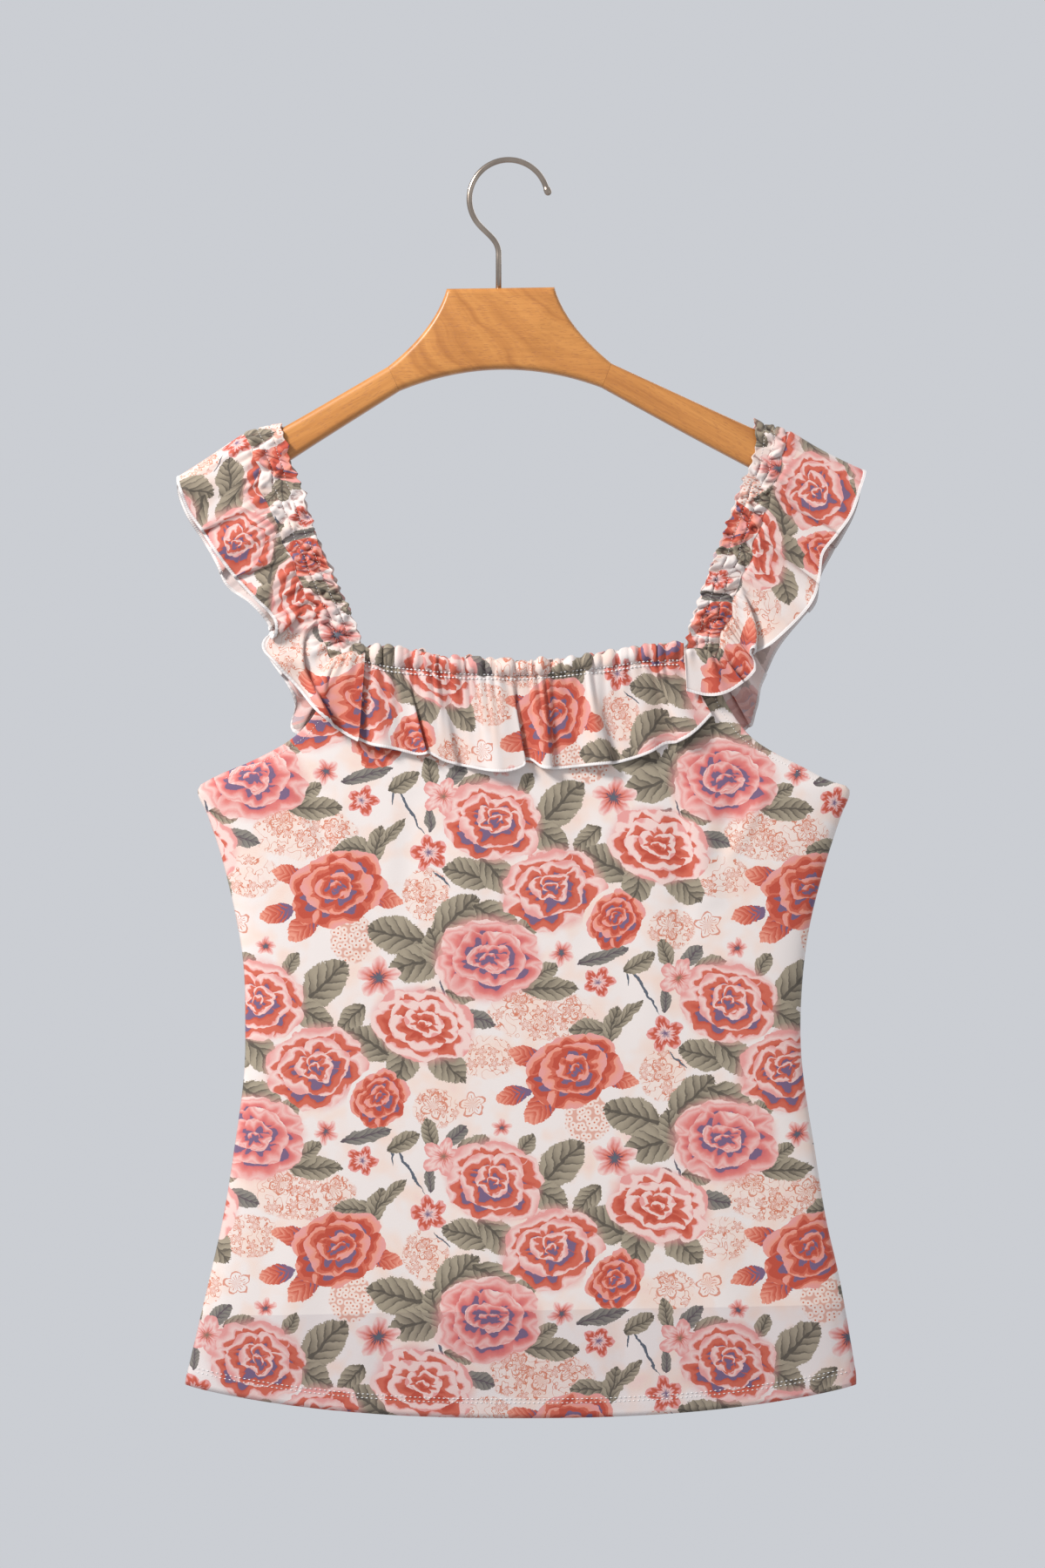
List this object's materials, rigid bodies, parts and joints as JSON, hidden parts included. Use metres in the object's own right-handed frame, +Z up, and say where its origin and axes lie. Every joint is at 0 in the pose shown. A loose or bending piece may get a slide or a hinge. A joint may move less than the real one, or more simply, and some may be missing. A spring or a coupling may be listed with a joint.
{
  "type": "tank top on a hanger",
  "caption": "Sleeveless knit top with a gathered square neck, ruffled straps and a shaped waist, hanging flat from a wooden clothes hanger by its hook.",
  "frame": {"origin": "inside of the hook's top, where a rail carries the hanger", "axes": "+Z up along the garment's length, -Y towards the viewer of the front, +X to the right seen from the front"},
  "size_m": [0.4352, 0.032, 0.7945],
  "materials": {
    "hook_steel": "satin drawn wire",
    "beech": "satin clear varnish",
    "printed_mesh": "matte floral print on fine mesh jersey"
  },
  "bodies": {
    "root": {"hanger_hook": "hook_steel", "hanger_block": "beech", "hanger_arm_left": "beech", "hanger_arm_right": "beech", "body_front": "printed_mesh", "body_back": "printed_mesh", "strap_left": "printed_mesh", "strap_right": "printed_mesh", "ruffle_front": "printed_mesh", "ruffle_back": "printed_mesh", "ruffle_left": "printed_mesh", "ruffle_right": "printed_mesh"}
  },
  "joints": []
}
